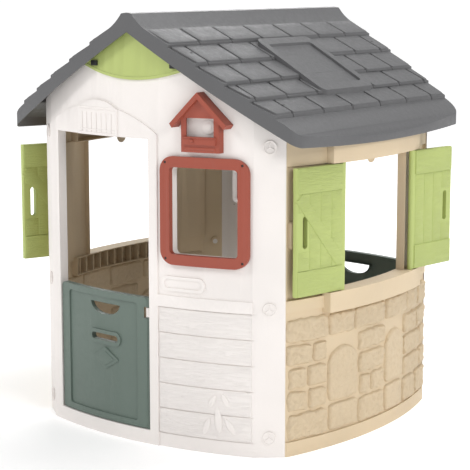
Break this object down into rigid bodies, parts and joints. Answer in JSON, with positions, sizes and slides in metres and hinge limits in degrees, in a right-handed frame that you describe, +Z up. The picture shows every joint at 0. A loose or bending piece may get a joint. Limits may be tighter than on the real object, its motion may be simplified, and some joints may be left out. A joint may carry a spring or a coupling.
{
  "type": "playhouse",
  "caption": "moulded plastic garden playhouse with bowed walls, pitched tiled roof, half doors that swing, framed windows and hinged shutters",
  "frame": {"origin": "on the ground, at the middle of the overall size in X and Y; the house's own middle line stands 20 mm along +X from it, because the left front shutter rests half open", "axes": "+Z up, the front gable with its door and window faces -Y, +X to the right seen from the front"},
  "size_m": [1.2196, 1.176, 1.355],
  "materials": {
    "white_plastic": "moulded, fine grain",
    "sand_plastic": "moulded, fine grain",
    "lime_plastic": "moulded, satin",
    "slate_plastic": "moulded, satin",
    "sage_plastic": "moulded, satin",
    "terracotta_plastic": "moulded, satin",
    "black_plastic": "moulded"
  },
  "bodies": {
    "house": {"front_wall": "white_plastic", "back_wall": "white_plastic", "left_wall": "sand_plastic", "right_wall": "sand_plastic", "front_gable": "lime_plastic", "back_gable": "lime_plastic", "left_roof": "slate_plastic", "right_roof": "slate_plastic", "front_door_clip": "white_plastic", "back_door_clip": "white_plastic", "front_window_frame": "terracotta_plastic", "back_window_frame": "terracotta_plastic", "front_birdhouse": "terracotta_plastic", "back_birdhouse": "terracotta_plastic", "corner_screws": "white_plastic", "corner_nuts": "sand_plastic", "roof_screws": "black_plastic", "ridge_bolts": "black_plastic", "window_frame_screws": "black_plastic", "birdhouse_screws": "black_plastic", "gable_clips": "black_plastic"},
    "front_door_body": {"front_door": "sage_plastic"},
    "back_door_body": {"back_door": "sage_plastic"},
    "right_front_shutter_body": {"right_front_shutter": "lime_plastic"},
    "right_back_shutter_body": {"right_back_shutter": "lime_plastic"},
    "left_front_shutter_body": {"left_front_shutter": "lime_plastic"},
    "left_back_shutter_body": {"left_back_shutter": "lime_plastic"}
  },
  "joints": [
    {"name": "front_door_hinge", "type": "hinge", "parent": "house", "child": "front_door_body", "pos_m": [0.06682, -0.54607, 0.3], "axis": [0, 0, 1], "range_deg": [0, 90]},
    {"name": "back_door_hinge", "type": "hinge", "parent": "house", "child": "back_door_body", "pos_m": [-0.02718, 0.54607, 0.3], "axis": [0, 0, 1], "range_deg": [0, 90]},
    {"name": "right_front_shutter_hinge", "type": "hinge", "parent": "house", "child": "right_front_shutter_body", "pos_m": [0.56732, -0.212, 0.7], "axis": [0, 0, 1], "range_deg": [-1, 191]},
    {"name": "right_back_shutter_hinge", "type": "hinge", "parent": "house", "child": "right_back_shutter_body", "pos_m": [0.56732, 0.212, 0.7], "axis": [0, 0, 1], "range_deg": [-172, 20]},
    {"name": "left_front_shutter_hinge", "type": "hinge", "parent": "house", "child": "left_front_shutter_body", "pos_m": [-0.52768, -0.212, 0.7], "axis": [0, 0, 1], "range_deg": [-159, 33]},
    {"name": "left_back_shutter_hinge", "type": "hinge", "parent": "house", "child": "left_back_shutter_body", "pos_m": [-0.52768, 0.212, 0.7], "axis": [0, 0, 1], "range_deg": [-1, 191]}
  ]
}
